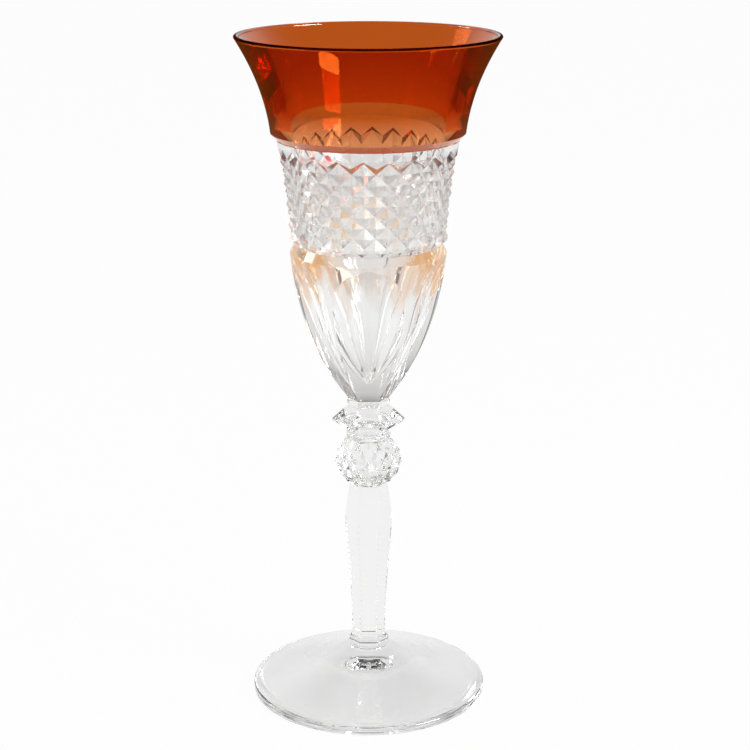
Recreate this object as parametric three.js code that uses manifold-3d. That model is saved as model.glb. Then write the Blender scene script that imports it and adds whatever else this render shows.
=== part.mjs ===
// Cut crystal champagne glass with an amber cased mouth.
// Millimetres, +Z up. The origin is on the table, under the middle of the foot.
// One flat of every six-sided piece faces -Y, so its corners lie on +X and -X.

import * as THREE from 'three';
import ManifoldModule from 'manifold-3d';

// Foot
const FOOT_RADIUS = 35.5;
const FOOT_HEIGHT = 14.5;
const FOOT_EDGE_HEIGHT = 2.6;
const FOOT_EDGE_ROUND = 0.7;
const FOOT_CROWN_RADIUS = 6.3;
const FOOT_CROWN_DROP = 1.5;
const FOOT_APRON_RUN = 18.0;
const FOOT_APRON_RISE = 7.0;
const FOOT_REST_WIDTH = 3.5;
const FOOT_HOLLOW_DEPTH = 7.0;

// Six-sided wafer between foot and stem
const FOOT_MERESE_HEIGHT = 2.6;
const FOOT_MERESE_RADIUS = 6.0;
const FOOT_MERESE_BEVEL = 0.6;

// Six-sided stem with notched corners
const STEM_HEIGHT = 49.3;
const STEM_FOOT_RADIUS = 5.2;
const STEM_SWELL_RADIUS = 7.2;
const STEM_SWELL_DROP = 13.2;
const STEM_TOP_RADIUS = 5.6;
const STEM_TAPER_EASE = 0.7;
const STEM_CORNER_CUT = 0.3;
const NOTCH_CUT = 0.65;
const NOTCH_PITCH = 1.7;
const NOTCH_START = 1.0;

// Diamond cut ball
const BALL_RADIUS = 10.2;
const BALL_HEIGHT = 14.5;
const BALL_EQUATOR_HEIGHT = 7.2;
const BALL_TOP_RADIUS = 6.0;
const BALL_BOTTOM_RADIUS = 4.8;
const BALL_DIAMONDS = 12;
const BALL_DIAMOND_ROWS = 3;
const BALL_CUT_DEPTH = 0.8;

// Round wafer between ball and collar
const KNOP_MERESE_HEIGHT = 1.7;
const KNOP_MERESE_RADIUS = 6.6;
const KNOP_MERESE_ROUND = 0.4;

// Six-sided collar
const COLLAR_RADIUS = 10.9;
const COLLAR_HEIGHT = 8.4;
const COLLAR_NECK_RADIUS = 6.0;
const COLLAR_NECK_HEIGHT = 0.2;
const COLLAR_LOWER_BEVEL = 3.2;
const COLLAR_EDGE_HEIGHT = 0.6;
const COLLAR_TOP_RADIUS = 6.0;

// Six-sided wafer between collar and bowl
const NECK_MERESE_HEIGHT = 2.2;
const NECK_MERESE_RADIUS = 6.3;
const NECK_MERESE_BEVEL = 0.25;

// Lower bowl, cut with six arched panels
const BOWL_NECK_RADIUS = 6.0;
const SHOULDER_RADIUS = 22.85;
const SHOULDER_HEIGHT = 44.4;
const SHOULDER_BULGE_DROP = 11.9;
const SHOULDER_BULGE_IN = 1.05;
const NECK_BULGE_RISE = 14.2;
const NECK_BULGE_OUT = 11.8;
const PANEL_MEET_HEIGHT = 30.8;
const PANEL_TOP_DROP = 1.2;

// Groove between lower bowl and diamond band
const GROOVE_DEPTH = 1.45;
const GROOVE_LOWER_BEVEL = 2.6;
const GROOVE_UPPER_BEVEL = 1.4;

// Diamond band
const BAND_PROUD = 0.05;
const BAND_FLARE = 3.3;
const BAND_DIAMONDS = 22;
const BAND_HALF_ROWS = 7;
const BAND_HALF_ROW_HEIGHT = 3.05;
const BAND_CUT_DEPTH = 1.35;
const BAND_LOWER_STRIP = 1.1;
const BAND_TOOTH_HEIGHT = 3.86;
const BAND_CREST_DROP = 0.6;
const BAND_CREST_DEPTH = 0.9;
const BAND_VALLEY_DROP = 2.0;
const BAND_UPPER_STRIP = 2.4;
const BAND_TURN = THREE.MathUtils.degToRad(-93);

// Flared mouth and its amber casing
const RIM_RADIUS = 38.0;
const MOUTH_HEIGHT = 29.69;
const STEP_PROUD = 1.8;
const STEP_LEDGE = 0.3;
const CASING_THICKNESS = 0.8;
const CASING_GAP = 0.1;
const LIP_ROUND = 0.3;
const WALL_FLARE_EASE = 0.16;
const CAVITY_FLARE_EASE = 0.12;

// Clear wall around the drink
const WALL_AT_RIM = 0.7;
const WALL_AT_MOUTH_FOOT = 5.0;
const WALL_AT_SHOULDER = 3.8;
const BASE_THICKNESS = 7.0;
const CAVITY_TIP_ROUND = 3.0;
const CAVITY_SIDE_DROP = 20.6;
const CAVITY_SIDE_IN = 4.5;

// Fineness of the round surfaces
const ROUND_STEPS = 48;
const CURVE_STEPS = 8;
const HEX_SIDES = 6;
const HALF_PANEL_ANGLE = Math.PI / HEX_SIDES;
const FULL_TURN = 2 * Math.PI;

// Heights that follow from the sizes above, counted from the bottom of the bowl
const grooveHeight = SHOULDER_HEIGHT + GROOVE_LOWER_BEVEL;
const bandHeight = grooveHeight + GROOVE_UPPER_BEVEL;
const bandTopHeight = bandHeight + BAND_LOWER_STRIP + BAND_HALF_ROWS * BAND_HALF_ROW_HEIGHT
  + BAND_TOOTH_HEIGHT + BAND_UPPER_STRIP;
const rimHeight = bandTopHeight + MOUTH_HEIGHT;

// Radii of the band, and of the wall's layers at the foot of the mouth and at the rim
const bandBottomRadius = SHOULDER_RADIUS + BAND_PROUD;
const bandTopRadius = bandBottomRadius + BAND_FLARE;
const stepRadius = bandTopRadius - STEP_LEDGE;
const casingFootRadius = bandTopRadius + STEP_PROUD;
const casingSeatRadius = casingFootRadius - CASING_THICKNESS;
const wallSeatRadius = casingSeatRadius - CASING_GAP;
const casingLipRadius = RIM_RADIUS - CASING_THICKNESS;
const wallLipRadius = casingLipRadius - CASING_GAP;

// Top of the step over the band, which is a bevel at 45 degrees
const stepHeight = bandTopHeight + casingFootRadius - stepRadius;

const wasm = await ManifoldModule();
wasm.setup();

const mix = THREE.MathUtils.lerp;

function range(count) {
  return Array.from({ length: count }, (_, index) => index);
}

function ring(count, height, radiusAt, turn = 0) {
  return range(count).map((index) => {
    const angle = turn + index * FULL_TURN / count;
    const radius = radiusAt(angle, index);
    return new THREE.Vector3(radius * Math.cos(angle), radius * Math.sin(angle), height);
  });
}

function circle(radius, height) {
  return ring(ROUND_STEPS, height, () => radius);
}

function hexagon(radius, height) {
  return ring(HEX_SIDES, height, () => radius);
}

// Closed skin through equal rings, listed from the bottom up. The diagonals of the cut levels
// join the points whose ring and place add up to an even number, those above them the others.
function loft(rings, cutLevels = 0, bottomHeight = rings[0][0].z) {
  const count = rings[0].length;
  const last = rings.length - 1;
  const points = rings.flat();
  const bottomMiddle = points.push(new THREE.Vector3(0, 0, bottomHeight)) - 1;
  const topMiddle = points.push(new THREE.Vector3(0, 0, rings[last][0].z)) - 1;
  const faces = [];
  for (let place = 0; place < count; place += 1) {
    const next = (place + 1) % count;
    faces.push(bottomMiddle, next, place);
    faces.push(topMiddle, last * count + place, last * count + next);
    for (let level = 0; level < last; level += 1) {
      const a = level * count + place;
      const b = level * count + next;
      const c = b + count;
      const d = a + count;
      const joinsOdd = (level + place) % 2 === (level < cutLevels ? 1 : 0);
      if (cutLevels > 0 && joinsOdd) {
        faces.push(a, b, d, b, c, d);
      } else {
        faces.push(a, b, c, a, c, d);
      }
    }
  }
  return new THREE.BufferGeometry().setFromPoints(points).setIndex(faces);
}

// Turned shape of a profile of radius and height pairs
function turned(profile) {
  const points = profile.map(([radius, height]) => new THREE.Vector2(radius, height));
  return new THREE.LatheGeometry(points, ROUND_STEPS).rotateX(Math.PI / 2);
}

function solidOf(geometry) {
  return new wasm.Manifold(new wasm.Mesh({
    numProp: 3,
    vertProperties: new Float32Array(geometry.attributes.position.array),
    triVerts: new Uint32Array(geometry.index.array),
  }));
}

function geometryOf(solid) {
  const { vertProperties, triVerts } = solid.getMesh();
  const geometry = new THREE.BufferGeometry();
  geometry.setAttribute('position', new THREE.BufferAttribute(vertProperties, 3));
  return geometry.setIndex(new THREE.BufferAttribute(triVerts, 1));
}

function curvePoints(curve) {
  return curve.getPoints(CURVE_STEPS).map((point) => [point.x, point.y]);
}

function cubic(start, startHandle, endHandle, end) {
  const points = [start, startHandle, endHandle, end];
  return curvePoints(new THREE.CubicBezierCurve(...points.map((pair) => new THREE.Vector2(...pair))));
}

// Flared wall that opens out towards the rim: straight with an ease of one half
function flare(footRadius, footHeight, topRadius, topHeight, ease) {
  const handle = [mix(footRadius, topRadius, ease), mix(footHeight, topHeight, 0.5)];
  const points = [[footRadius, footHeight], handle, [topRadius, topHeight]];
  return curvePoints(new THREE.QuadraticBezierCurve(...points.map((pair) => new THREE.Vector2(...pair))));
}

function clearGlass() {
  return new THREE.MeshStandardMaterial({ color: 0xe8e7e5, roughness: 0.04, metalness: 0 });
}

function amberGlass() {
  return new THREE.MeshStandardMaterial({ color: 0xb04a12, roughness: 0.04, metalness: 0 });
}

function piece(name, geometry, material) {
  const mesh = new THREE.Mesh(geometry, material);
  mesh.name = name;
  return mesh;
}

// Foot: a flat resting ring round a hollow, with a trumpet top
function foot() {
  const restOuter = FOOT_RADIUS - FOOT_EDGE_ROUND;
  const restInner = restOuter - FOOT_REST_WIDTH;
  const edgeTop = FOOT_EDGE_HEIGHT - FOOT_EDGE_ROUND;
  const hollow = cubic(
    [0, FOOT_HOLLOW_DEPTH],
    [restInner / 2, FOOT_HOLLOW_DEPTH],
    [restInner / 2, FOOT_HOLLOW_DEPTH / 2],
    [restInner, 0],
  );
  const trumpet = cubic(
    [restOuter, FOOT_EDGE_HEIGHT],
    [restOuter - FOOT_APRON_RUN, FOOT_EDGE_HEIGHT + FOOT_APRON_RISE],
    [FOOT_CROWN_RADIUS, FOOT_HEIGHT - FOOT_CROWN_DROP],
    [FOOT_CROWN_RADIUS, FOOT_HEIGHT],
  );
  return turned([
    ...hollow,
    [restOuter, 0],
    [FOOT_RADIUS, FOOT_EDGE_ROUND],
    [FOOT_RADIUS, edgeTop],
    ...trumpet,
    [0, FOOT_HEIGHT],
  ]);
}

function hexWafer(radius, height, bevel) {
  return loft([
    hexagon(radius - bevel, 0),
    hexagon(radius, bevel),
    hexagon(radius, height - bevel),
    hexagon(radius - bevel, height),
  ]);
}

function roundWafer(radius, height, round) {
  return turned([
    [0, 0],
    [radius - round, 0],
    [radius, round],
    [radius, height - round],
    [radius - round, height],
    [0, height],
  ]);
}

// Stem: corner to corner radius at a height above the bottom of the stem
function stemRadius(height) {
  const swellHeight = STEM_HEIGHT - STEM_SWELL_DROP;
  if (height > swellHeight) {
    const rise = (height - swellHeight) / STEM_SWELL_DROP;
    return mix(STEM_SWELL_RADIUS, STEM_TOP_RADIUS, rise * rise);
  }
  const fall = (swellHeight - height) / swellHeight;
  const share = (1 + Math.cos(Math.PI * fall ** STEM_TAPER_EASE)) / 2;
  return mix(STEM_FOOT_RADIUS, STEM_SWELL_RADIUS, share);
}

// Hexagon whose six corners are cut off square, the cut measured along each side
function cutHexagon(radius, height, cut) {
  const corners = hexagon(radius, height);
  return corners.flatMap((corner, index) => {
    const before = corners[(index + HEX_SIDES - 1) % HEX_SIDES];
    const after = corners[(index + 1) % HEX_SIDES];
    const share = cut / radius;
    return [corner.clone().lerp(before, share), corner.clone().lerp(after, share)];
  });
}

// Stem: sharp corners above the swell, a row of notches down each corner below it
function stem() {
  const swellHeight = STEM_HEIGHT - STEM_SWELL_DROP;
  const notches = Math.floor((swellHeight - NOTCH_START) / NOTCH_PITCH);
  const rings = [cutHexagon(STEM_FOOT_RADIUS, 0, STEM_CORNER_CUT)];
  range(2 * notches + 1).forEach((step) => {
    const height = NOTCH_START + step * NOTCH_PITCH / 2;
    const cut = step % 2 === 1 ? NOTCH_CUT : STEM_CORNER_CUT;
    rings.push(cutHexagon(stemRadius(height), height, cut));
  });
  const notchTop = NOTCH_START + notches * NOTCH_PITCH;
  range(CURVE_STEPS).forEach((step) => {
    const height = mix(notchTop, STEM_HEIGHT, (step + 1) / CURVE_STEPS);
    rings.push(cutHexagon(stemRadius(height), height, STEM_CORNER_CUT));
  });
  return loft(rings);
}

// Ball: pyramids on a flattened sphere, with a plain edge at each end
function ball() {
  const topReach = Math.acos(BALL_TOP_RADIUS / BALL_RADIUS);
  const bottomReach = Math.acos(BALL_BOTTOM_RADIUS / BALL_RADIUS);
  const topAxis = (BALL_HEIGHT - BALL_EQUATOR_HEIGHT) / Math.sin(topReach);
  const bottomAxis = BALL_EQUATOR_HEIGHT / Math.sin(bottomReach);
  const halfRows = 2 * BALL_DIAMOND_ROWS;
  const rings = range(halfRows + 1).map((row) => {
    const slope = mix(-bottomReach, topReach, row / halfRows);
    const axis = slope > 0 ? topAxis : bottomAxis;
    const height = BALL_EQUATOR_HEIGHT + axis * Math.sin(slope);
    const edge = row === 0 || row === halfRows;
    return ring(2 * BALL_DIAMONDS, height, (angle, index) => {
      const groove = !edge && (row + index) % 2 === 0;
      return BALL_RADIUS * Math.cos(slope) - (groove ? BALL_CUT_DEPTH : 0);
    });
  });
  return loft(rings, halfRows);
}

// Collar: two bevels meeting at a crisp six-sided edge
function collar() {
  const edgeHeight = COLLAR_NECK_HEIGHT + COLLAR_LOWER_BEVEL;
  return loft([
    hexagon(COLLAR_NECK_RADIUS, 0),
    hexagon(COLLAR_NECK_RADIUS, COLLAR_NECK_HEIGHT),
    hexagon(COLLAR_RADIUS, edgeHeight),
    hexagon(COLLAR_RADIUS, edgeHeight + COLLAR_EDGE_HEIGHT),
    hexagon(COLLAR_TOP_RADIUS, COLLAR_HEIGHT),
  ]);
}

// Lower bowl: a turned blank with six flat panels that end in arches under the shoulder.
// The bevels of the groove run on past its bottom, into the solid on its other side.
function panelRing(radius, height) {
  const panelTop = SHOULDER_HEIGHT - PANEL_TOP_DROP;
  const rise = (height - PANEL_MEET_HEIGHT) / (panelTop - PANEL_MEET_HEIGHT);
  const arch = THREE.MathUtils.clamp(rise, 0, 1);
  const flatDistance = radius * Math.cos(HALF_PANEL_ANGLE * Math.sqrt(1 - arch * arch));
  return ring(ROUND_STEPS, height, (angle) => {
    const fromCorner = angle % (2 * HALF_PANEL_ANGLE);
    const acrossPanel = fromCorner - HALF_PANEL_ANGLE;
    return Math.min(radius, flatDistance / Math.cos(acrossPanel));
  });
}

function lowerBowl() {
  const side = cubic(
    [BOWL_NECK_RADIUS, 0],
    [BOWL_NECK_RADIUS + NECK_BULGE_OUT, NECK_BULGE_RISE],
    [SHOULDER_RADIUS - SHOULDER_BULGE_IN, SHOULDER_HEIGHT - SHOULDER_BULGE_DROP],
    [SHOULDER_RADIUS, SHOULDER_HEIGHT],
  );
  const panels = side.map(([radius, height]) => panelRing(radius, height));
  const grooveBevel = circle(SHOULDER_RADIUS - 2 * GROOVE_DEPTH, SHOULDER_HEIGHT + 2 * GROOVE_LOWER_BEVEL);
  return loft([...panels, grooveBevel]);
}

// Diamond band: V grooves crossing on a tapered belt leave rows of raised pyramids. Two
// plain rings come before the rows, so a row's number is even where its ring's is.
function beltRadius(height) {
  const share = (height - bandHeight) / (bandTopHeight - bandHeight);
  return mix(bandBottomRadius, bandTopRadius, (share + share * share) / 2);
}

function beltRing(height, radius, cutDepthAt = () => 0) {
  return ring(2 * BAND_DIAMONDS, height, (angle, index) => radius - cutDepthAt(index), BAND_TURN);
}

// Zigzag edge where the grooves run out under the plain strip at the top of the band
function toothRing(toothTop) {
  const crestHeight = toothTop - BAND_CREST_DROP;
  const valleyHeight = toothTop - BAND_VALLEY_DROP;
  const crests = beltRing(crestHeight, beltRadius(crestHeight) - BAND_CREST_DEPTH);
  const valleys = beltRing(valleyHeight, beltRadius(valleyHeight));
  return crests.map((crest, index) => (index % 2 === 0 ? crest : valleys[index]));
}

function diamondBand() {
  const firstRow = bandHeight + BAND_LOWER_STRIP;
  const toothTop = bandTopHeight - BAND_UPPER_STRIP;
  const rows = range(BAND_HALF_ROWS + 1).map((row) => {
    const height = firstRow + row * BAND_HALF_ROW_HEIGHT;
    return beltRing(height, beltRadius(height), (index) => ((row + index) % 2 === 0 ? BAND_CUT_DEPTH : 0));
  });
  const cutRings = [
    beltRing(bandHeight - 2 * GROOVE_UPPER_BEVEL, bandBottomRadius - 2 * GROOVE_DEPTH),
    beltRing(bandHeight, bandBottomRadius),
    ...rows,
  ];
  const stripRings = [
    toothRing(toothTop),
    beltRing(toothTop, beltRadius(toothTop)),
    beltRing(bandTopHeight, bandTopRadius),
  ];
  return loft([...cutRings, ...stripRings], cutRings.length);
}

// Clear wall of the mouth. The bevel of the step runs on down into the band, and its flat top
// carries the casing.
function mouthWall() {
  const outside = flare(wallSeatRadius, stepHeight, wallLipRadius, rimHeight, WALL_FLARE_EASE);
  return loft([
    circle(stepRadius - BAND_UPPER_STRIP, bandTopHeight - BAND_UPPER_STRIP),
    circle(casingFootRadius, stepHeight),
    ...outside.map((pair) => circle(...pair)),
  ]);
}

// Space for the drink, from its round tip to just past the rim
function cavity() {
  const sideRadius = SHOULDER_RADIUS - WALL_AT_SHOULDER;
  const lipRadius = wallLipRadius - WALL_AT_RIM;
  const bottom = cubic(
    [0, BASE_THICKNESS],
    [CAVITY_TIP_ROUND, BASE_THICKNESS],
    [sideRadius - CAVITY_SIDE_IN, SHOULDER_HEIGHT - CAVITY_SIDE_DROP],
    [sideRadius, SHOULDER_HEIGHT],
  );
  const mouthFootRadius = wallSeatRadius - WALL_AT_MOUTH_FOOT;
  const mouth = flare(mouthFootRadius, bandTopHeight, lipRadius, rimHeight - LIP_ROUND, CAVITY_FLARE_EASE);
  const profile = [
    ...bottom.slice(1),
    ...mouth,
    [lipRadius + 2 * LIP_ROUND, rimHeight + LIP_ROUND],
  ];
  return loft(profile.map((pair) => circle(...pair)), 0, BASE_THICKNESS);
}

function bowl() {
  const blank = solidOf(lowerBowl()).add(solidOf(diamondBand())).add(solidOf(mouthWall()));
  return geometryOf(blank.subtract(solidOf(cavity())));
}

// Amber casing: a thin flared sleeve that stands on the step, round the wall
function casing() {
  const height = rimHeight - stepHeight;
  const outside = flare(casingFootRadius, 0, RIM_RADIUS, height - LIP_ROUND, WALL_FLARE_EASE);
  const inside = flare(casingSeatRadius, 0, casingLipRadius, height, WALL_FLARE_EASE);
  return turned([
    ...outside,
    [RIM_RADIUS - LIP_ROUND, height],
    ...inside.reverse(),
    outside[0],
  ]);
}

// Every clear piece stands on the one before it, and the casing on the bowl's step
const clearPieces = [
  ['foot', foot(), FOOT_HEIGHT],
  ['foot_merese', hexWafer(FOOT_MERESE_RADIUS, FOOT_MERESE_HEIGHT, FOOT_MERESE_BEVEL), FOOT_MERESE_HEIGHT],
  ['stem', stem(), STEM_HEIGHT],
  ['ball_knop', ball(), BALL_HEIGHT],
  ['knop_merese', roundWafer(KNOP_MERESE_RADIUS, KNOP_MERESE_HEIGHT, KNOP_MERESE_ROUND), KNOP_MERESE_HEIGHT],
  ['collar', collar(), COLLAR_HEIGHT],
  ['neck_merese', hexWafer(NECK_MERESE_RADIUS, NECK_MERESE_HEIGHT, NECK_MERESE_BEVEL), NECK_MERESE_HEIGHT],
  ['bowl', bowl(), stepHeight],
];

const glass = new THREE.Group();
let level = 0;
for (const [name, geometry, height] of clearPieces) {
  const mesh = piece(name, geometry, clearGlass());
  mesh.position.z = level;
  glass.add(mesh);
  level += height;
}

const amber = piece('amber_casing', casing(), amberGlass());
amber.position.z = level;
glass.add(amber);

export default glass;
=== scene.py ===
# Cut crystal champagne glass with an amber cased mouth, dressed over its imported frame.
# Sizes are in millimetres until a mesh is made from them in metres. +Z is up.
import math

import bpy
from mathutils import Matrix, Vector


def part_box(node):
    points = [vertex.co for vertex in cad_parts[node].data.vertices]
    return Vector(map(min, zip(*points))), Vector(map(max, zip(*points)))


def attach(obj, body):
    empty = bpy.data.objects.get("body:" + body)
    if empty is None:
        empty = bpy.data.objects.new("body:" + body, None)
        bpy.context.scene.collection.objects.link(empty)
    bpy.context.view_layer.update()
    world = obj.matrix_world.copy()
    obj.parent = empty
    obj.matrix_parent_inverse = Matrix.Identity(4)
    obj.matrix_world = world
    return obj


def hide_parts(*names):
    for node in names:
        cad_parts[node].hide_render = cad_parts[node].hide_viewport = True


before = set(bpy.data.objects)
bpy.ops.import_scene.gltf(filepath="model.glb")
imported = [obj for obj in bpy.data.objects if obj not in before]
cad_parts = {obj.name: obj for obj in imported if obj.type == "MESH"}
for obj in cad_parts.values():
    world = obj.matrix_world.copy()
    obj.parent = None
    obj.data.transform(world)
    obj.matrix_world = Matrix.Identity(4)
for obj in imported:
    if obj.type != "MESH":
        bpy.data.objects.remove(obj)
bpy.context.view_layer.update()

MM = 0.001
TURN = 2 * math.pi
HEX = 6


def extent(node):
    """Bottom, top and outer radius of a node of the frame, in millimetres."""
    low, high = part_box(node)
    return low.z / MM, high.z / MM, high.x / MM


_, FOOT_TOP, FOOT_RADIUS = extent("foot")
FOOT_MERESE_BOTTOM, FOOT_MERESE_TOP, FOOT_MERESE_RADIUS = extent("foot_merese")
STEM_BOTTOM, STEM_TOP, _ = extent("stem")
BALL_BOTTOM, BALL_TOP, BALL_RADIUS = extent("ball_knop")
KNOP_MERESE_BOTTOM, KNOP_MERESE_TOP, KNOP_MERESE_RADIUS = extent("knop_merese")
COLLAR_BOTTOM, COLLAR_TOP, COLLAR_RADIUS = extent("collar")
NECK_MERESE_BOTTOM, NECK_MERESE_TOP, NECK_MERESE_RADIUS = extent("neck_merese")
BOWL_BOTTOM, RIM_HEIGHT, _ = extent("bowl")
CASING_SEAT, _, RIM_RADIUS = extent("amber_casing")

# Foot
FOOT_EDGE_HEIGHT = 2.6
FOOT_EDGE_ROUND = 0.7
FOOT_CROWN_RADIUS = 6.3
FOOT_CROWN_DROP = 1.5
FOOT_APRON_RUN = 18.0
FOOT_APRON_RISE = 7.0
FOOT_REST_WIDTH = 3.5
FOOT_HOLLOW_DEPTH = 7.0

# Wafers between the main pieces
FOOT_MERESE_BEVEL = 0.6
KNOP_MERESE_ROUND = 0.4
NECK_MERESE_BEVEL = 0.25

# Stem
STEM_FOOT_RADIUS = 5.2
STEM_SWELL_RADIUS = 7.2
STEM_SWELL_DROP = 13.2
STEM_TOP_RADIUS = 5.6
STEM_TAPER_EASE = 0.7
STEM_CORNER_CUT = 0.3
NOTCH_CUT = 0.65
NOTCH_PITCH = 1.7
NOTCH_START = 1.0

# Ball
BALL_EQUATOR_HEIGHT = 7.2
BALL_TOP_RADIUS = 6.0
BALL_BOTTOM_RADIUS = 4.8
BALL_DIAMONDS = 12
BALL_DIAMOND_ROWS = 3
BALL_CUT_DEPTH = 0.8

# Collar
COLLAR_NECK_RADIUS = 6.0
COLLAR_NECK_HEIGHT = 0.2
COLLAR_LOWER_BEVEL = 3.2
COLLAR_EDGE_HEIGHT = 0.6

# Lower bowl and its six arched panels
BOWL_NECK_RADIUS = 6.0
SHOULDER_RADIUS = 22.85
SHOULDER_HEIGHT = 44.4
SHOULDER_BULGE_DROP = 11.9
SHOULDER_BULGE_IN = 1.05
NECK_BULGE_RISE = 14.2
NECK_BULGE_OUT = 11.8
PANEL_MEET_HEIGHT = 30.8
PANEL_TOP_DROP = 1.2
PANEL_RIDGE_WIDTH = 0.5
PANEL_TIP_ANGLE = math.radians(2.0)

# Groove and diamond band
GROOVE_DEPTH = 1.45
GROOVE_LOWER_BEVEL = 2.6
GROOVE_UPPER_BEVEL = 1.4
BAND_PROUD = 0.05
BAND_FLARE = 3.3
BAND_DIAMONDS = 22
BAND_HALF_ROWS = 7
BAND_HALF_ROW_HEIGHT = 3.05
BAND_CUT_DEPTH = 1.35
BAND_LOWER_STRIP = 1.1
BAND_TOOTH_HEIGHT = 3.86
BAND_CREST_DROP = 0.6
BAND_CREST_DEPTH = 0.9
BAND_VALLEY_DROP = 2.0
BAND_UPPER_STRIP = 2.4
BAND_TURN = math.radians(-93)

# Flared mouth, its casing and the space for the drink
STEP_PROUD = 1.8
STEP_LEDGE = 0.3
CASING_THICKNESS = 0.8
CASING_GAP = 0.02
LIP_ROUND = 0.6
WALL_FLARE_EASE = 0.16
CAVITY_FLARE_EASE = 0.12
WALL_AT_RIM = 0.7
WALL_AT_MOUTH_FOOT = 5.0
WALL_AT_SHOULDER = 3.8
BASE_THICKNESS = 7.0
CAVITY_TIP_ROUND = 3.0
CAVITY_SIDE_DROP = 20.6
CAVITY_SIDE_IN = 4.5

# Fineness of the round surfaces
ROUND_STEPS = 264
CURVE_STEPS = 40
ARC_STEPS = 6
PANEL_FLAT_STEPS = 12
PANEL_ROUND_STEPS = 16
SHARP_ANGLE = math.radians(14)


def mix(start, end, share):
    return start + (end - start) * share


def ring(count, radius, height, turn=0.0):
    """Points spread evenly round the axis."""
    points = []
    for index in range(count):
        angle = turn + index * TURN / count
        points.append((radius * math.cos(angle), radius * math.sin(angle), height))
    return points


def by_turns(row, deep, raised):
    """One ring of crossing grooves: deep and raised points by turns, moved on by one in each row."""
    points = [deep, raised]
    return [points[(row + index) % 2][index] for index in range(len(deep))]


def circle(radius, height, turn=0.0):
    return ring(ROUND_STEPS, radius, height, turn)


def hexagon(radius, height):
    return ring(HEX, radius, height)


def circles(profile, turn=0.0):
    return [circle(radius, height, turn) for radius, height in profile]


def pole(height):
    return [(0.0, 0.0, height)]


def cubic(*corners):
    """Points of a cubic curve in radius and height, from its start, two handles and end."""
    points = []
    for step in range(CURVE_STEPS + 1):
        t = step / CURVE_STEPS
        shares = ((1 - t) ** 3, 3 * t * (1 - t) ** 2, 3 * t * t * (1 - t), t ** 3)
        points.append(tuple(sum(s * c[axis] for s, c in zip(shares, corners)) for axis in (0, 1)))
    return points


def flare(foot_radius, foot_height, top_radius, top_height, ease):
    """Wall that opens out towards the rim: straight with an ease of one half."""
    middle = mix(foot_radius, top_radius, ease)
    points = []
    for step in range(CURVE_STEPS + 1):
        t = step / CURVE_STEPS
        radius = (1 - t) ** 2 * foot_radius + 2 * t * (1 - t) * middle + t * t * top_radius
        points.append((radius, mix(foot_height, top_height, t)))
    return points


def arc(center_radius, center_height, size, start, end):
    """Quarter or part round of an edge, between two angles in degrees."""
    points = []
    for step in range(ARC_STEPS + 1):
        angle = math.radians(mix(start, end, step / ARC_STEPS))
        points.append((center_radius + size * math.cos(angle), center_height + size * math.sin(angle)))
    return points


def angles_after(start, points):
    """Angles of a ring's points, measured on from a start."""
    return [(math.atan2(y, x) - start) % TURN for x, y, _ in points]


def stitch(first, second, first_points, second_points):
    """Triangles between two rings that have unlike numbers of points, wherever each one starts."""
    first_count, second_count = len(first), len(second)
    if second_count == 1:
        return [(first[i], first[(i + 1) % first_count], second[0]) for i in range(first_count)]
    if first_count == 1:
        return [(first[0], second[(j + 1) % second_count], second[j]) for j in range(second_count)]
    start = math.atan2(first_points[0][1], first_points[0][0])
    first_angles = [0.0] + angles_after(start, first_points)[1:] + [TURN]
    second_angles = angles_after(start, second_points)
    shift = second_angles.index(min(second_angles))
    second = second[shift:] + second[:shift]
    second_angles = sorted(second_angles) + [second_angles[shift] + TURN]
    faces = []
    i = j = 0
    while i < first_count or j < second_count:
        here = first[i % first_count], second[j % second_count]
        if i == first_count or j == second_count:
            first_moves = j == second_count
        else:
            first_moves = sum(first_angles[i:i + 2]) <= sum(second_angles[j:j + 2])
        if first_moves:
            i += 1
            faces.append((here[0], first[i % first_count], here[1]))
        else:
            j += 1
            faces.append((here[0], second[j % second_count], here[1]))
    return faces


def quads(first, second, level):
    """Faces between two rings with equal numbers of points, cut into triangles where they have a level."""
    count = len(first)
    faces = []
    for place in range(count):
        following = (place + 1) % count
        a, b, c, d = first[place], first[following], second[following], second[place]
        if level is None:
            faces.append((a, b, c, d))
        elif (level + place) % 2 == 1:
            faces += [(a, b, d), (b, c, d)]
        else:
            faces += [(a, b, c), (a, c, d)]
    return faces


# Finishes of a face: the piece's main one or fused to another piece of glass, and then, by piece,
# wheel cut with a painted grey shade, stained with a painted shade over the neck, or the lip of the casing
# painted dark as a shade
MAIN, FUSED, SHADED_CUT, STAINED_AND_SHADED = range(4)
SHADED_LIP = 2


class Skin:
    """Faces gathered ring by ring, from the bottom up the outside, so that they look outwards."""

    def __init__(self):
        self.points = []
        self.faces = []
        self.finishes = []
        self.last = None
        self.first = None

    def add(self, ring_points, finish=MAIN, level=None):
        """Joins a ring to the one before it. The level counts the rows of cut diamonds."""
        start = len(self.points)
        here = list(range(start, start + len(ring_points)))
        self.points += ring_points
        if self.last is None:
            self.first = here
        else:
            self.join(self.last, here, finish, level)
        self.last = here

    def join(self, first, second, finish, level=None):
        """Faces between two rings, given by the numbers of their points."""
        if len(first) == len(second):
            faces = quads(first, second, level)
        else:
            sides = [[self.points[i] for i in side] for side in (first, second)]
            faces = stitch(first, second, *sides)
        self.faces += faces
        self.finishes += [finish] * len(faces)

    def add_all(self, rings, finish=MAIN):
        for points in rings:
            self.add(points, finish)

    def close_ends(self):
        """Flat fused faces across the first and last rings, unless they are poles."""
        for face in (self.first[::-1], self.last):
            if len(face) > 1:
                self.faces.append(tuple(face))
                self.finishes.append(FUSED)

    def close_round(self, finish):
        """Joins the last ring to the first, as a sleeve needs."""
        self.join(self.last, self.first, finish)


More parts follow.
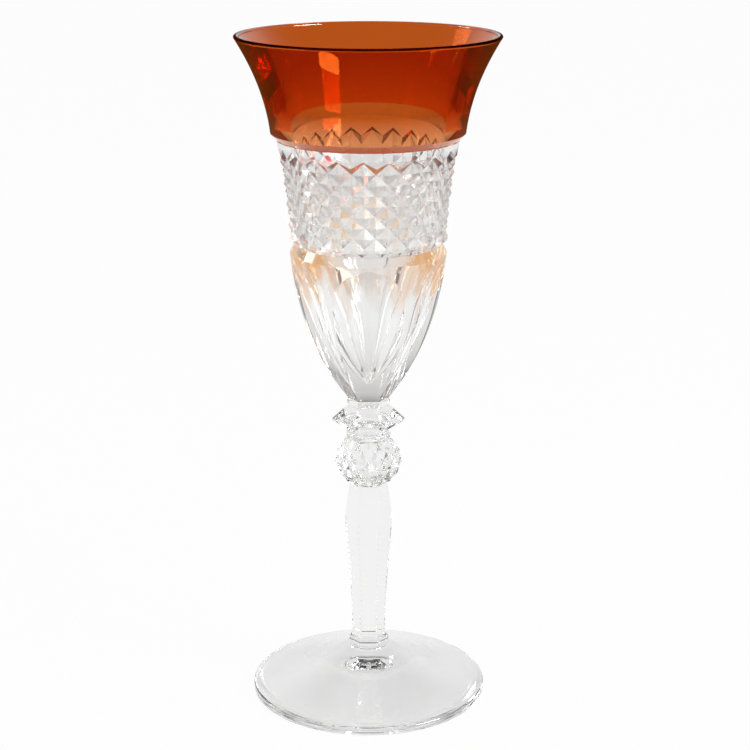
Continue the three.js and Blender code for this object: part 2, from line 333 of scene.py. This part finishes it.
def place_piece(node, skin, finishes):
    """Makes a skin into the piece that stands for a node of the frame."""
    mesh = bpy.data.meshes.new(f"{node}_glass")
    mesh.from_pydata([Vector(point) * MM for point in skin.points], [], skin.faces)
    for material in finishes:
        mesh.materials.append(material)
    mesh.polygons.foreach_set("material_index", skin.finishes)
    mesh.polygons.foreach_set("use_smooth", [True] * len(mesh.polygons))
    mesh.set_sharp_from_angle(angle=SHARP_ANGLE)
    mesh.validate()
    piece = bpy.data.objects.new(f"{node}_glass", mesh)
    bpy.context.collection.objects.link(piece)
    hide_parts(node)
    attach(piece, "root")


def cut_hexagon(radius, height, cut):
    """Hexagon whose corners are cut off square, the cut measured along each side."""
    corners = [Vector(point) for point in hexagon(radius, height)]
    points = []
    for index, corner in enumerate(corners):
        before = corners[index - 1]
        after = corners[(index + 1) % HEX]
        points += [tuple(corner.lerp(before, cut / radius)), tuple(corner.lerp(after, cut / radius))]
    return points


def ball_ring(radius, height):
    return ring(2 * BALL_DIAMONDS, radius, height)


# Outlines of the joints, each about the smaller of the two faces that meet there
foot_joint = hexagon(FOOT_MERESE_RADIUS - FOOT_MERESE_BEVEL, FOOT_TOP)
stem_foot_joint = cut_hexagon(STEM_FOOT_RADIUS, STEM_BOTTOM, STEM_CORNER_CUT)
stem_top_joint = ball_ring(BALL_BOTTOM_RADIUS, STEM_TOP)
ball_top_joint = ball_ring(BALL_TOP_RADIUS, BALL_TOP)
collar_foot_joint = hexagon(COLLAR_NECK_RADIUS, COLLAR_BOTTOM)
collar_top_joint = hexagon(COLLAR_NECK_RADIUS, COLLAR_TOP)
bowl_joint = hexagon(BOWL_NECK_RADIUS, BOWL_BOTTOM)


def foot_skin():
    """Flat resting ring round a hollow, under a shallow cone that rises to the joint."""
    rest_outer = FOOT_RADIUS - FOOT_EDGE_ROUND
    rest_inner = rest_outer - FOOT_REST_WIDTH
    hollow = cubic(
        (0, FOOT_HOLLOW_DEPTH),
        (rest_inner / 2, FOOT_HOLLOW_DEPTH),
        (rest_inner / 2, FOOT_HOLLOW_DEPTH / 2),
        (rest_inner, 0),
    )
    cone = cubic(
        (rest_outer, FOOT_EDGE_HEIGHT),
        (rest_outer - FOOT_APRON_RUN, FOOT_EDGE_HEIGHT + FOOT_APRON_RISE),
        (FOOT_CROWN_RADIUS, FOOT_TOP - FOOT_CROWN_DROP),
        (FOOT_CROWN_RADIUS, FOOT_TOP),
    )
    skin = Skin()
    skin.add(pole(FOOT_HOLLOW_DEPTH))
    skin.add_all(circles(hollow[1:]))
    skin.add_all(circles(arc(rest_outer, FOOT_EDGE_ROUND, FOOT_EDGE_ROUND, -90, 0)))
    skin.add_all(circles(arc(rest_outer, FOOT_EDGE_HEIGHT - FOOT_EDGE_ROUND, FOOT_EDGE_ROUND, 0, 90)))
    skin.add_all(circles(cone[1:]))
    skin.add(foot_joint)
    skin.close_ends()
    return skin


def hex_wafer_skin(radius, bottom, top, bevel, bottom_joint, top_joint):
    """Six-sided wafer with bevelled edges. Without a bottom joint, its whole bottom is the joint."""
    skin = Skin()
    if bottom_joint:
        skin.add(bottom_joint)
    skin.add(hexagon(radius - bevel, bottom))
    skin.add(hexagon(radius, bottom + bevel))
    skin.add(hexagon(radius, top - bevel))
    skin.add(hexagon(radius - bevel, top))
    skin.add(top_joint)
    skin.close_ends()
    return skin


def foot_merese_skin():
    return hex_wafer_skin(
        FOOT_MERESE_RADIUS,
        FOOT_MERESE_BOTTOM,
        FOOT_MERESE_TOP,
        FOOT_MERESE_BEVEL,
        bottom_joint=None,
        top_joint=stem_foot_joint,
    )


def neck_merese_skin():
    return hex_wafer_skin(
        NECK_MERESE_RADIUS,
        NECK_MERESE_BOTTOM,
        NECK_MERESE_TOP,
        NECK_MERESE_BEVEL,
        bottom_joint=collar_top_joint,
        top_joint=bowl_joint,
    )


def knop_merese_skin():
    """Round wafer with rounded edges."""
    edge = KNOP_MERESE_ROUND
    radius = KNOP_MERESE_RADIUS - edge
    skin = Skin()
    skin.add(ball_top_joint)
    skin.add_all(circles(arc(radius, KNOP_MERESE_BOTTOM + edge, edge, -90, 0)))
    skin.add_all(circles(arc(radius, KNOP_MERESE_TOP - edge, edge, 0, 90)))
    skin.add(collar_foot_joint)
    skin.close_ends()
    return skin


def stem_radius(height):
    """Corner to corner radius at a height above the bottom of the stem."""
    swell_height = STEM_TOP - STEM_BOTTOM - STEM_SWELL_DROP
    if height > swell_height:
        rise = (height - swell_height) / STEM_SWELL_DROP
        return mix(STEM_SWELL_RADIUS, STEM_TOP_RADIUS, rise * rise)
    fall = (swell_height - height) / swell_height
    share = (1 + math.cos(math.pi * fall ** STEM_TAPER_EASE)) / 2
    return mix(STEM_FOOT_RADIUS, STEM_SWELL_RADIUS, share)


def stem_skin():
    """Narrowly cut corners, with a row of notches down each one below the swell."""
    length = STEM_TOP - STEM_BOTTOM
    notches = int((length - STEM_SWELL_DROP - NOTCH_START) / NOTCH_PITCH)
    notch_top = NOTCH_START + notches * NOTCH_PITCH
    skin = Skin()
    skin.add(stem_foot_joint)
    for step in range(2 * notches + 1):
        height = NOTCH_START + step * NOTCH_PITCH / 2
        cut = NOTCH_CUT if step % 2 else STEM_CORNER_CUT
        skin.add(cut_hexagon(stem_radius(height), STEM_BOTTOM + height, cut))
    for step in range(1, CURVE_STEPS + 1):
        height = mix(notch_top, length, step / CURVE_STEPS)
        skin.add(cut_hexagon(stem_radius(height), STEM_BOTTOM + height, STEM_CORNER_CUT))
    skin.add(stem_top_joint)
    skin.close_ends()
    return skin


def ball_row(row, radius, height):
    """Plain at the two ends of the ball, grooved between them."""
    plain = ball_ring(radius, height)
    if row in (0, 2 * BALL_DIAMOND_ROWS):
        return plain
    return by_turns(row, ball_ring(radius - BALL_CUT_DEPTH, height), plain)


def ball_skin():
    """Pyramids on a flattened sphere, with a plain edge at each end."""
    top_reach = math.acos(BALL_TOP_RADIUS / BALL_RADIUS)
    bottom_reach = math.acos(BALL_BOTTOM_RADIUS / BALL_RADIUS)
    top_axis = (BALL_TOP - BALL_BOTTOM - BALL_EQUATOR_HEIGHT) / math.sin(top_reach)
    bottom_axis = BALL_EQUATOR_HEIGHT / math.sin(bottom_reach)
    half_rows = 2 * BALL_DIAMOND_ROWS
    skin = Skin()
    for row in range(half_rows + 1):
        slope = mix(-bottom_reach, top_reach, row / half_rows)
        axis = top_axis if slope > 0 else bottom_axis
        height = BALL_BOTTOM + BALL_EQUATOR_HEIGHT + axis * math.sin(slope)
        radius = BALL_RADIUS * math.cos(slope)
        skin.add(ball_row(row, radius, height), level=row - 1)
    skin.close_ends()
    return skin


def collar_skin():
    """Two bevels meeting at a crisp six-sided edge."""
    edge_height = COLLAR_BOTTOM + COLLAR_NECK_HEIGHT + COLLAR_LOWER_BEVEL
    skin = Skin()
    skin.add(collar_foot_joint)
    skin.add(hexagon(COLLAR_NECK_RADIUS, COLLAR_BOTTOM + COLLAR_NECK_HEIGHT))
    skin.add(hexagon(COLLAR_RADIUS, edge_height))
    skin.add(hexagon(COLLAR_RADIUS, edge_height + COLLAR_EDGE_HEIGHT))
    skin.add(collar_top_joint)
    skin.close_ends()
    return skin


# Heights and radii of the bowl that follow from the sizes above
shoulder_height = BOWL_BOTTOM + SHOULDER_HEIGHT
groove_height = shoulder_height + GROOVE_LOWER_BEVEL
band_height = groove_height + GROOVE_UPPER_BEVEL
first_row_height = band_height + BAND_LOWER_STRIP
tooth_top_height = first_row_height + BAND_HALF_ROWS * BAND_HALF_ROW_HEIGHT + BAND_TOOTH_HEIGHT
band_top_height = tooth_top_height + BAND_UPPER_STRIP
band_bottom_radius = SHOULDER_RADIUS + BAND_PROUD
band_top_radius = band_bottom_radius + BAND_FLARE
step_radius = band_top_radius - STEP_LEDGE
casing_foot_radius = band_top_radius + STEP_PROUD
casing_seat_radius = casing_foot_radius - CASING_THICKNESS
casing_lip_radius = RIM_RADIUS - CASING_THICKNESS
wall_seat_radius = casing_seat_radius - CASING_GAP
wall_lip_radius = casing_lip_radius - CASING_GAP
cavity_lip_radius = wall_lip_radius - WALL_AT_RIM


def spread(start, end, count):
    """Even steps from a start, without the end."""
    return [mix(start, end, step / count) for step in range(count)]


def panel_ring(radius, height):
    """Six flats under arches, with round strips between them."""
    panel_top = SHOULDER_HEIGHT - PANEL_TOP_DROP
    rise = (height - BOWL_BOTTOM - PANEL_MEET_HEIGHT) / (panel_top - PANEL_MEET_HEIGHT)
    arch = min(max(rise, 0.0), 1.0)
    sector = TURN / HEX
    widest = sector / 2 - PANEL_RIDGE_WIDTH / 2 / radius
    reach = max(widest * math.sqrt(1 - arch * arch), PANEL_TIP_ANGLE)
    offsets = spread(-reach, reach, PANEL_FLAT_STEPS) + spread(reach, sector - reach, PANEL_ROUND_STEPS)
    points = []
    for side in range(HEX):
        middle = (side + 0.5) * sector
        for offset in offsets:
            flat = abs(offset) < reach and rise < 1
            distance = radius * math.cos(reach) / math.cos(offset) if flat else radius
            angle = middle + offset
            points.append((distance * math.cos(angle), distance * math.sin(angle), height))
    return points


def belt_radius(height):
    """Outside of the diamond band, which flares more towards its top."""
    share = (height - band_height) / (band_top_height - band_height)
    return mix(band_bottom_radius, band_top_radius, (share + share * share) / 2)


def belt_ring(height, depth=0.0):
    return ring(2 * BAND_DIAMONDS, belt_radius(height) - depth, height, BAND_TURN)


def belt_row(row):
    height = first_row_height + row * BAND_HALF_ROW_HEIGHT
    return by_turns(row, belt_ring(height, BAND_CUT_DEPTH), belt_ring(height))


def tooth_ring():
    """Zigzag edge where the grooves run out under the plain strip."""
    crests = belt_ring(tooth_top_height - BAND_CREST_DROP, BAND_CREST_DEPTH)
    valleys = belt_ring(tooth_top_height - BAND_VALLEY_DROP)
    return by_turns(BAND_HALF_ROWS + 1, crests, valleys)


def belt_circle(radius, height):
    return circle(radius, height, BAND_TURN)


def lower_bowl_rings():
    """Panelled outside, from the neck up to the shoulder."""
    side = cubic(
        (BOWL_NECK_RADIUS, BOWL_BOTTOM),
        (BOWL_NECK_RADIUS + NECK_BULGE_OUT, BOWL_BOTTOM + NECK_BULGE_RISE),
        (SHOULDER_RADIUS - SHOULDER_BULGE_IN, shoulder_height - SHOULDER_BULGE_DROP),
        (SHOULDER_RADIUS, shoulder_height),
    )
    return [panel_ring(*pair) for pair in side]


def cavity_rings():
    """Inside of the bowl, from the lip down to its round tip."""
    side_radius = SHOULDER_RADIUS - WALL_AT_SHOULDER
    base_height = BOWL_BOTTOM + BASE_THICKNESS
    mouth_foot_radius = wall_seat_radius - WALL_AT_MOUTH_FOOT
    lip_height = RIM_HEIGHT - WALL_AT_RIM
    mouth = flare(mouth_foot_radius, band_top_height, cavity_lip_radius, lip_height, CAVITY_FLARE_EASE)
    bottom = cubic(
        (0, base_height),
        (CAVITY_TIP_ROUND, base_height),
        (side_radius - CAVITY_SIDE_IN, shoulder_height - CAVITY_SIDE_DROP),
        (side_radius, shoulder_height),
    )
    return circles(mouth[-2::-1] + bottom[:0:-1], BAND_TURN) + [pole(base_height)]


def bowl_skin():
    """Up the outside over panels, groove, band, step and wall, and down the inside."""
    skin = Skin()
    skin.add_all(lower_bowl_rings(), STAINED_AND_SHADED)
    skin.add(panel_ring(SHOULDER_RADIUS - GROOVE_DEPTH, groove_height), STAINED_AND_SHADED)
    skin.add(belt_circle(band_bottom_radius, band_height))
    for row in range(BAND_HALF_ROWS + 1):
        skin.add(belt_row(row), SHADED_CUT, level=row - 1)
    skin.add(tooth_ring(), SHADED_CUT, level=BAND_HALF_ROWS)
    skin.add(belt_ring(tooth_top_height), SHADED_CUT, level=BAND_HALF_ROWS)
    skin.add(belt_circle(band_top_radius, band_top_height))
    skin.add(belt_circle(step_radius, band_top_height))
    skin.add(belt_circle(casing_foot_radius, CASING_SEAT))
    wall = flare(wall_seat_radius, CASING_SEAT, wall_lip_radius, RIM_HEIGHT, WALL_FLARE_EASE)
    skin.add_all(circles(wall, BAND_TURN), FUSED)
    lip = arc(wall_lip_radius, RIM_HEIGHT - WALL_AT_RIM, WALL_AT_RIM, 90, 180)
    skin.add_all(circles(lip[1:], BAND_TURN))
    skin.add_all(cavity_rings())
    skin.close_ends()
    return skin


def casing_skin():
    """Thin flared sleeve round the mouth, standing on the step."""
    outside = flare(casing_foot_radius, CASING_SEAT, RIM_RADIUS, RIM_HEIGHT - LIP_ROUND, WALL_FLARE_EASE)
    inside = flare(casing_seat_radius, CASING_SEAT, casing_lip_radius, RIM_HEIGHT, WALL_FLARE_EASE)
    lip = arc(RIM_RADIUS - LIP_ROUND, RIM_HEIGHT - LIP_ROUND, LIP_ROUND, 0, 90)
    skin = Skin()
    skin.add_all(circles(outside))
    # The rounded lip gets the nearly black painted shade
    skin.add_all(circles(lip[1:] + inside[-1:]), SHADED_LIP)
    skin.add_all(circles(inside[-2::-1]), FUSED)
    skin.close_round(FUSED)
    return skin


# Materials, with sizes and heights in metres and noise scales in waves per metre
CRYSTAL_COLOR = (0.985, 0.988, 0.985, 1.0)
# Painted shade: grey base colour of the wheel cut band, for the darker surroundings that its facets show
CUT_PAINTED_SHADE_COLOR = (0.89, 0.875, 0.86, 1.0)
CRYSTAL_IOR = 1.54
POLISHED_HAZE = (0.0, 0.02)
CUT_HAZE = (0.15, 0.3)
CUT_SHINE = 0.15
BALL_HAZE = (0.1, 0.18)
BALL_SHINE = 0.3
NOISE_RANGE = (0.3, 0.7)
NOISE_DETAIL = 2.0
HAZE_SCALE = 180.0
RIPPLE_SCALE = 90.0
RIPPLE_STRENGTH = 0.05
RIPPLE_HEIGHT = 0.2 * MM
SMOKE_COLOR = (0.91, 0.903, 0.905, 1.0)
SMOKE_SCALE = 45.0
# Painted shade: grey over the neck of the lower bowl, fading out between the two heights below
NECK_SHADE_COLOR = (0.78, 0.765, 0.75, 1.0)
NECK_SHADE_END = (98 * MM, 109 * MM)
STAIN_COLOR = (0.85, 0.45, 0.2, 1.0)
STAIN_MIDDLE_COLOR = (0.88, 0.8, 0.745, 1.0)
STAIN_SIDE = (4 * MM, 16 * MM)
STAIN_RUN = 14 * MM
STAIN_STREAK = (1.0, 1.0, 0.1)
STAIN_SCALE = 260.0
STAIN_DETAIL = 1.0
STAIN_EDGE = (131 * MM, 139 * MM)
# Painted shade: the casing's rounded lip made nearly black, for the dark line it shows
AMBER_LIP_SHADE_COLOR = (0.1, 0.004, 0.0, 1.0)
AMBER_COLOR = (0.59, 0.108, 0.013, 1.0)
AMBER_FOOT_COLOR = (0.85, 0.33, 0.13, 1.0)
AMBER_FOOT_REACH = 8 * MM
AMBER_EDGE_COLOR = (0.16, 0.035, 0.006, 1.0)
AMBER_EDGE_SLANT = (0.6, 0.95)


def new_material(name):
    """An empty material, with its nodes, links and output."""
    material = bpy.data.materials.new(name)
    material.use_nodes = True
    nodes = material.node_tree.nodes
    nodes.clear()
    output = nodes.new("ShaderNodeOutputMaterial")
    return material, nodes, material.node_tree.links, output


def place_on_object(nodes):
    """Place of a point on the object, in metres."""
    return nodes.new("ShaderNodeTexCoord").outputs["Object"]


def parts_of(nodes, links, place):
    """The X, Y and Z of a place."""
    parts = nodes.new("ShaderNodeSeparateXYZ")
    links.new(place, parts.inputs["Vector"])
    return parts.outputs


def noise(nodes, links, place, scale, detail=NOISE_DETAIL):
    texture = nodes.new("ShaderNodeTexNoise")
    texture.inputs["Scale"].default_value = scale
    texture.inputs["Detail"].default_value = detail
    links.new(place, texture.inputs["Vector"])
    return texture.outputs["Fac"]


def calculate(nodes, links, operation, *values):
    """A number worked out from one or two others."""
    node = nodes.new("ShaderNodeMath")
    node.operation = operation
    for value, socket in zip(values, node.inputs):
        links.new(value, socket)
    return node.outputs["Value"]


def blend(nodes, links, share, first, second):
    """Mix of two colours, each a colour or another mix."""
    node = nodes.new("ShaderNodeMix")
    node.data_type = "RGBA"
    links.new(share, node.inputs["Factor"])
    for color, socket in ((first, node.inputs["A"]), (second, node.inputs["B"])):
        if isinstance(color, tuple):
            socket.default_value = color
        else:
            links.new(color, socket)
    return node.outputs["Result"]


def ramp(nodes, links, value, start, end):
    """A value brought from one range to another, and kept in it."""
    node = nodes.new("ShaderNodeMapRange")
    node.inputs["From Min"].default_value = start[0]
    node.inputs["From Max"].default_value = start[1]
    node.inputs["To Min"].default_value = end[0]
    node.inputs["To Max"].default_value = end[1]
    links.new(value, node.inputs["Value"])
    return node.outputs["Result"]


def add_ripples(nodes, links, shader):
    """Faint waves of a surface that was fire polished by hand."""
    bump = nodes.new("ShaderNodeBump")
    bump.inputs["Strength"].default_value = RIPPLE_STRENGTH
    bump.inputs["Distance"].default_value = RIPPLE_HEIGHT
    links.new(noise(nodes, links, place_on_object(nodes), RIPPLE_SCALE), bump.inputs["Height"])
    links.new(bump.outputs["Normal"], shader.inputs["Normal"])


def glass(name, color, haze_range, shine=1.0):
    """Lead crystal: faint ripples, and haze that varies over the surface. Matt cuts shine less."""
    material, nodes, links, output = new_material(name)
    shader = nodes.new("ShaderNodeBsdfPrincipled")
    shader.inputs["Base Color"].default_value = color
    shader.inputs["Transmission Weight"].default_value = 1.0
    shader.inputs["IOR"].default_value = CRYSTAL_IOR
    shader.inputs["Specular Tint"].default_value = (shine, shine, shine, 1.0)
    patches = noise(nodes, links, place_on_object(nodes), HAZE_SCALE)
    links.new(ramp(nodes, links, patches, NOISE_RANGE, haze_range), shader.inputs["Roughness"])
    add_ripples(nodes, links, shader)
    links.new(shader.outputs["BSDF"], output.inputs["Surface"])
    return material


def fused_joint():
    """Hot joint between two pieces of glass: light goes straight through."""
    material, nodes, links, output = new_material("fused_joint")
    shader = nodes.new("ShaderNodeBsdfTransparent")
    links.new(shader.outputs["BSDF"], output.inputs["Surface"])
    return material


def amber_glass(name, foot_color, full_color):
    """Outside of the casing: it colours what is seen through it, paler at its foot, darker at a slant."""
    material, nodes, links, output = new_material(name)
    shader = nodes.new("ShaderNodeBsdfGlass")
    shader.inputs["IOR"].default_value = CRYSTAL_IOR
    height = parts_of(nodes, links, place_on_object(nodes))["Z"]
    reach = (CASING_SEAT * MM, CASING_SEAT * MM + AMBER_FOOT_REACH)
    depth = ramp(nodes, links, height, reach, (0.0, 1.0))
    color = blend(nodes, links, depth, foot_color, full_color)
    slant = nodes.new("ShaderNodeLayerWeight").outputs["Facing"]
    edge = ramp(nodes, links, slant, AMBER_EDGE_SLANT, (0.0, 1.0))
    links.new(blend(nodes, links, edge, color, AMBER_EDGE_COLOR), shader.inputs["Color"])
    add_ripples(nodes, links, shader)
    links.new(shader.outputs["BSDF"], output.inputs["Surface"])
    return material


def stain_color(nodes, links, parts):
    """Amber on the two sides of the bowl, and a greyer wash in the middle."""
    across = calculate(nodes, links, "ABSOLUTE", parts["X"])
    side = ramp(nodes, links, across, STAIN_SIDE, (0.0, 1.0))
    return blend(nodes, links, side, STAIN_MIDDLE_COLOR, STAIN_COLOR)


def stain_amount(nodes, links, place, parts):
    """Stain that has run down the shoulder of the bowl in streaks."""
    streaks = nodes.new("ShaderNodeMapping")
    streaks.inputs["Scale"].default_value = STAIN_STREAK
    links.new(place, streaks.inputs["Vector"])
    streak = noise(nodes, links, streaks.outputs["Vector"], STAIN_SCALE, STAIN_DETAIL)
    run = ramp(nodes, links, streak, NOISE_RANGE, (0.0, STAIN_RUN))
    level = calculate(nodes, links, "ADD", parts["Z"], run)
    return ramp(nodes, links, level, STAIN_EDGE, (0.0, 1.0))


def color_bowl(material):
    """Lower bowl: stained at the shoulder, and greyer over the neck, a painted shade."""
    nodes, links = material.node_tree.nodes, material.node_tree.links
    place = place_on_object(nodes)
    parts = parts_of(nodes, links, place)
    # Painted shade: greyer base colour over the neck, up to the heights of the neck shade
    beyond_neck_shade = ramp(nodes, links, parts["Z"], NECK_SHADE_END, (0.0, 1.0))
    clear = blend(nodes, links, beyond_neck_shade, NECK_SHADE_COLOR, CRYSTAL_COLOR)
    stain = stain_color(nodes, links, parts)
    color = blend(nodes, links, stain_amount(nodes, links, place, parts), clear, stain)
    links.new(color, nodes["Principled BSDF"].inputs["Base Color"])
    return material


def color_foot(material):
    """Foot: faint smoky patches."""
    nodes, links = material.node_tree.nodes, material.node_tree.links
    patches = noise(nodes, links, place_on_object(nodes), SMOKE_SCALE)
    smoke = ramp(nodes, links, patches, NOISE_RANGE, (0.0, 1.0))
    color = blend(nodes, links, smoke, CRYSTAL_COLOR, SMOKE_COLOR)
    links.new(color, nodes["Principled BSDF"].inputs["Base Color"])
    return material


polished = glass("polished_crystal", CRYSTAL_COLOR, POLISHED_HAZE)
# The wheel cut band's grey base colour is a painted shade
shaded_wheel_cut = glass("wheel_cut_crystal_painted_shade", CUT_PAINTED_SHADE_COLOR, CUT_HAZE, CUT_SHINE)
ball_cut = glass("ball_cut_crystal", CRYSTAL_COLOR, BALL_HAZE, BALL_SHINE)
joint = fused_joint()
smoky = color_foot(glass("smoky_crystal", CRYSTAL_COLOR, POLISHED_HAZE))
stained_and_shaded = color_bowl(glass("stained_crystal_with_neck_shade", CRYSTAL_COLOR, POLISHED_HAZE))
amber = amber_glass("amber_glass", AMBER_FOOT_COLOR, AMBER_COLOR)
shaded_amber_lip = amber_glass("shaded_amber_lip", AMBER_LIP_SHADE_COLOR, AMBER_LIP_SHADE_COLOR)

# Finishes by piece, in the order of their numbers above
clear_finishes = [polished, joint]
foot_finishes = [smoky, joint]
ball_finishes = [ball_cut, joint]
bowl_finishes = [polished, joint, shaded_wheel_cut, stained_and_shaded]
amber_finishes = [amber, joint, shaded_amber_lip]

place_piece("foot", foot_skin(), foot_finishes)
place_piece("foot_merese", foot_merese_skin(), clear_finishes)
place_piece("stem", stem_skin(), clear_finishes)
place_piece("ball_knop", ball_skin(), ball_finishes)
place_piece("knop_merese", knop_merese_skin(), clear_finishes)
place_piece("collar", collar_skin(), clear_finishes)
place_piece("neck_merese", neck_merese_skin(), clear_finishes)
place_piece("bowl", bowl_skin(), bowl_finishes)
place_piece("amber_casing", casing_skin(), amber_finishes)

# Stage, in metres: a white floor that keeps a faint shadow, a pale room and two windows
FLOOR_HALF_WIDTH = 10.0
FLOOR_DROP = 0.0001
FLOOR_COLOR = (0.56, 0.555, 0.55, 1.0)
FLOOR_WHITE_SHARE = 0.975
FLOOR_WHITE_IN_GLASS = 0.81
ROOM_COLOR = (1.0, 1.0, 1.0, 1.0)
BACKDROP_LEVEL = 0.81
BACKDROP_RANGE = (0.1, 0.16)
WALL_LEVEL = 0.8
CEILING_LEVEL = 0.04
CEILING_RANGE = (0.5, 0.8)
FRONT_LEVEL = 0.22
FRONT_RANGE = (0.2, 0.75)
WINDOW_AIM = (0, 0, 0.18)
RIGHT_WINDOW_PLACE = (0.9, -0.55, 0.44)
RIGHT_WINDOW_SIZE = (0.55, 0.5)
RIGHT_WINDOW_POWER = 22.0
LEFT_WINDOW_PLACE = (-1.0, 0.25, 0.5)
LEFT_WINDOW_SIZE = (0.3, 0.4)
LEFT_WINDOW_POWER = 4.0


def floor_material():
    """Painted floor, nearly white as the camera sees it and a little darker as the glass shows it."""
    material, nodes, links, output = new_material("white_floor")
    paint = nodes.new("ShaderNodeBsdfDiffuse")
    paint.inputs["Color"].default_value = FLOOR_COLOR
    white = nodes.new("ShaderNodeEmission")
    path = nodes.new("ShaderNodeLightPath").outputs
    in_glass = calculate(nodes, links, "MAXIMUM", path["Is Glossy Ray"], path["Is Transmission Ray"])
    glass_share = ramp(nodes, links, in_glass, (0.0, 1.0), (0.0, FLOOR_WHITE_IN_GLASS))
    straight_share = ramp(nodes, links, path["Is Camera Ray"], (0.0, 1.0), (0.0, FLOOR_WHITE_SHARE))
    share = calculate(nodes, links, "ADD", glass_share, straight_share)
    mixed = nodes.new("ShaderNodeMixShader")
    links.new(share, mixed.inputs["Fac"])
    links.new(paint.outputs["BSDF"], mixed.inputs[1])
    links.new(white.outputs["Emission"], mixed.inputs[2])
    links.new(mixed.outputs["Shader"], output.inputs["Surface"])
    return material


def add_floor():
    half = FLOOR_HALF_WIDTH
    height = -FLOOR_DROP
    corners = [(-half, -half, height), (half, -half, height), (half, half, height), (-half, half, height)]
    mesh = bpy.data.meshes.new("floor")
    mesh.from_pydata(corners, [], [(0, 1, 2, 3)])
    mesh.materials.append(floor_material())
    floor = bpy.data.objects.new("floor", mesh)
    bpy.context.collection.objects.link(floor)


def add_room():
    """World light, pale low down and behind the glass, dim elsewhere. The camera sees all of it white."""
    world = bpy.data.worlds.new("pale_room")
    bpy.context.scene.world = world
    world.use_nodes = True
    nodes, links = world.node_tree.nodes, world.node_tree.links
    nodes.clear()
    output = nodes.new("ShaderNodeOutputWorld")
    background = nodes.new("ShaderNodeBackground")
    background.inputs["Color"].default_value = ROOM_COLOR
    direction = nodes.new("ShaderNodeTexCoord").outputs["Generated"]
    parts = parts_of(nodes, links, direction)
    ceiling = ramp(nodes, links, parts["Z"], CEILING_RANGE, (WALL_LEVEL, CEILING_LEVEL))
    front = ramp(nodes, links, parts["Y"], FRONT_RANGE, (FRONT_LEVEL, 1.0))
    room = calculate(nodes, links, "MULTIPLY", ceiling, front)
    backdrop = ramp(nodes, links, parts["Z"], BACKDROP_RANGE, (BACKDROP_LEVEL, 0.0))
    level = calculate(nodes, links, "MAXIMUM", room, backdrop)
    seen = nodes.new("ShaderNodeLightPath").outputs["Is Camera Ray"]
    links.new(calculate(nodes, links, "MAXIMUM", level, seen), background.inputs["Strength"])
    links.new(background.outputs["Background"], output.inputs["Surface"])


def add_window(name, place, size, power):
    """Lamp that faces the bowl. The camera sees it only in the glass."""
    light = bpy.data.lights.new(name, "AREA")
    light.shape = "RECTANGLE"
    light.size, light.size_y = size
    light.energy = power
    lamp = bpy.data.objects.new(name, light)
    lamp.location = place
    lamp.rotation_euler = (Vector(WINDOW_AIM) - Vector(place)).to_track_quat("-Z", "Y").to_euler()
    lamp.visible_camera = False
    bpy.context.collection.objects.link(lamp)


add_floor()
add_room()
add_window("window_right", RIGHT_WINDOW_PLACE, RIGHT_WINDOW_SIZE, RIGHT_WINDOW_POWER)
add_window("window_left", LEFT_WINDOW_PLACE, LEFT_WINDOW_SIZE, LEFT_WINDOW_POWER)

# Camera at the photo's place, with angles in degrees
CAMERA_DISTANCE = 528.4
CAMERA_HEIGHT = 254.4
CAMERA_PITCH = 16.289
CAMERA_PAN = 0.21
CAMERA_LENS = 89.1
CAMERA_SENSOR = 36.0

camera_data = bpy.data.cameras.new("camera")
camera_data.lens = CAMERA_LENS
camera_data.sensor_width = CAMERA_SENSOR
camera = bpy.data.objects.new("camera", camera_data)
camera.location = (0, -CAMERA_DISTANCE * MM, CAMERA_HEIGHT * MM)
camera.rotation_euler = (math.radians(90 - CAMERA_PITCH), 0, math.radians(-CAMERA_PAN))
bpy.context.collection.objects.link(camera)

# How often light may turn on its way through the glass
ALL_BOUNCES = 32
GLASS_BOUNCES = 24
MIRROR_BOUNCES = 16
MATT_BOUNCES = 3
JOINT_PASSES = 64

scene = bpy.context.scene
scene.camera = camera
scene.view_settings.view_transform = "Standard"
scene.cycles.max_bounces = ALL_BOUNCES
scene.cycles.transmission_bounces = GLASS_BOUNCES
scene.cycles.glossy_bounces = MIRROR_BOUNCES
scene.cycles.diffuse_bounces = MATT_BOUNCES
scene.cycles.transparent_max_bounces = JOINT_PASSES
